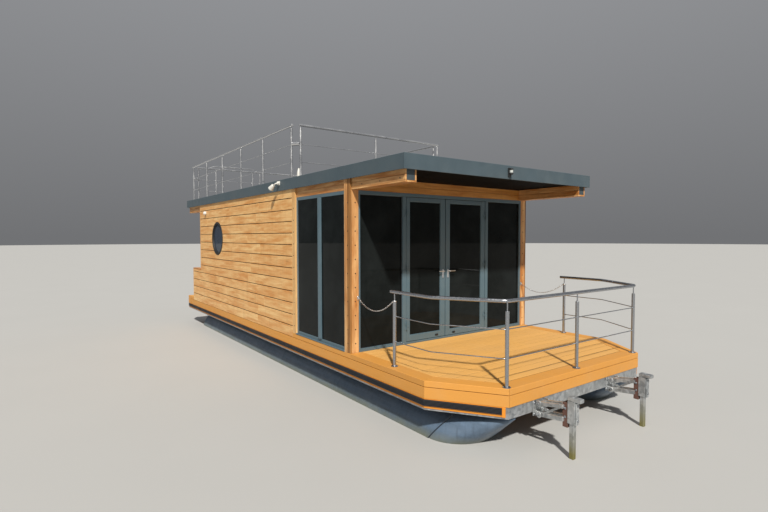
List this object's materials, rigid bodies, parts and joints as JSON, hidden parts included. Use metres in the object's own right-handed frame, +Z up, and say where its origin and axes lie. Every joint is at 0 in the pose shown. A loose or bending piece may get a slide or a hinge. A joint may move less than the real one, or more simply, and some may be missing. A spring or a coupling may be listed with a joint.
{
  "type": "houseboat",
  "caption": "Timber-clad houseboat cabin on two round floats, with a railed foredeck, a flat railed roof, glazed front doors and a bow pair of sliding mooring legs.",
  "frame": {"origin": "amidships on the centre line, at the waterline", "axes": "+X forward to the bow, +Y to port, +Z up"},
  "size_m": [11.01, 3.908, 6.134],
  "materials": {
    "anthracite": "anthracite coated sheet, satin",
    "cladding": "oiled larch boards, satin",
    "decking": "ochre composite decking, matt",
    "float": "blue-grey polyethylene, satin",
    "frame": "blue-grey coated profiles, satin",
    "galvanised": "hot-dip galvanised steel",
    "glass": "dark reflective glass",
    "interior": "pale floor covering",
    "lamp": "white lamp housing",
    "rubber": "black ribbed rubber",
    "soffit": "dark stained boards",
    "steel": "brushed stainless steel",
    "timber": "oiled timber, satin"
  },
  "bodies": {
    "hull": {"aft_deck_boards": "decking", "aft_screen_port": "cladding", "aft_screen_starboard": "cladding", "bow_fascia": "decking", "cabin_floor": "interior", "ceiling_panel": "soffit", "corner_post_port": "timber", "corner_post_starboard": "timber", "deck_frame": "galvanised", "fender_rubber_port": "rubber", "fender_rubber_starboard": "rubber", "fender_timber_port": "decking", "fender_timber_starboard": "decking", "float_port": "float", "float_starboard": "float", "floodlight": "lamp", "floor_panel": "timber", "foredeck_boards": "decking", "foredeck_rail": "steel", "front_frame": "frame", "front_pane_port": "glass", "front_pane_starboard": "glass", "gate_chain_port": "steel", "gate_chain_starboard": "steel", "header_beam": "timber", "leg_bracket_port": "galvanised", "leg_bracket_starboard": "galvanised", "navigation_light": "rubber", "porthole_glass_port": "glass", "porthole_glass_starboard": "glass", "porthole_rim_port": "anthracite", "porthole_rim_starboard": "anthracite", "roof_deck": "anthracite", "roof_fascia": "anthracite", "roof_rail_front": "steel", "roof_rail_port": "steel", "roof_rail_starboard": "steel", "roof_rail_stern": "steel", "roof_vent": "lamp", "side_beam_port": "timber", "side_beam_starboard": "timber", "stern_fascia": "decking", "wall_aft": "cladding", "wall_lamp": "lamp", "wall_port": "cladding", "wall_starboard": "cladding", "window_frame_port": "frame", "window_frame_starboard": "frame", "window_glass_port": "glass", "window_glass_starboard": "glass"},
    "door_starboard": {"door_starboard": "frame", "door_glass_starboard": "glass"},
    "door_port": {"door_port": "frame", "door_glass_port": "glass"},
    "aft_door": {"aft_door": "frame", "aft_door_glass": "glass"},
    "leg_starboard": {"leg_starboard": "galvanised"},
    "leg_port": {"leg_port": "galvanised"}
  },
  "joints": [
    {"name": "door_starboard_hinge", "type": "hinge", "parent": "hull", "child": "door_starboard", "pos_m": [2.985, -0.875, 0], "axis": [0, 0, -1], "range_deg": [0, 105]},
    {"name": "door_port_hinge", "type": "hinge", "parent": "hull", "child": "door_port", "pos_m": [2.985, 0.797, 0], "axis": [0, 0, 1], "range_deg": [0, 105]},
    {"name": "aft_door_hinge", "type": "hinge", "parent": "hull", "child": "aft_door", "pos_m": [-4.062, 1.137, 0], "axis": [0, 0, -1], "range_deg": [0, 95]},
    {"name": "leg_starboard_slide", "type": "slide", "parent": "hull", "child": "leg_starboard", "axis": [0, 0, 1], "range_m": [0, 1.6]},
    {"name": "leg_port_slide", "type": "slide", "parent": "hull", "child": "leg_port", "axis": [0, 0, 1], "range_m": [0, 1.6]}
  ]
}
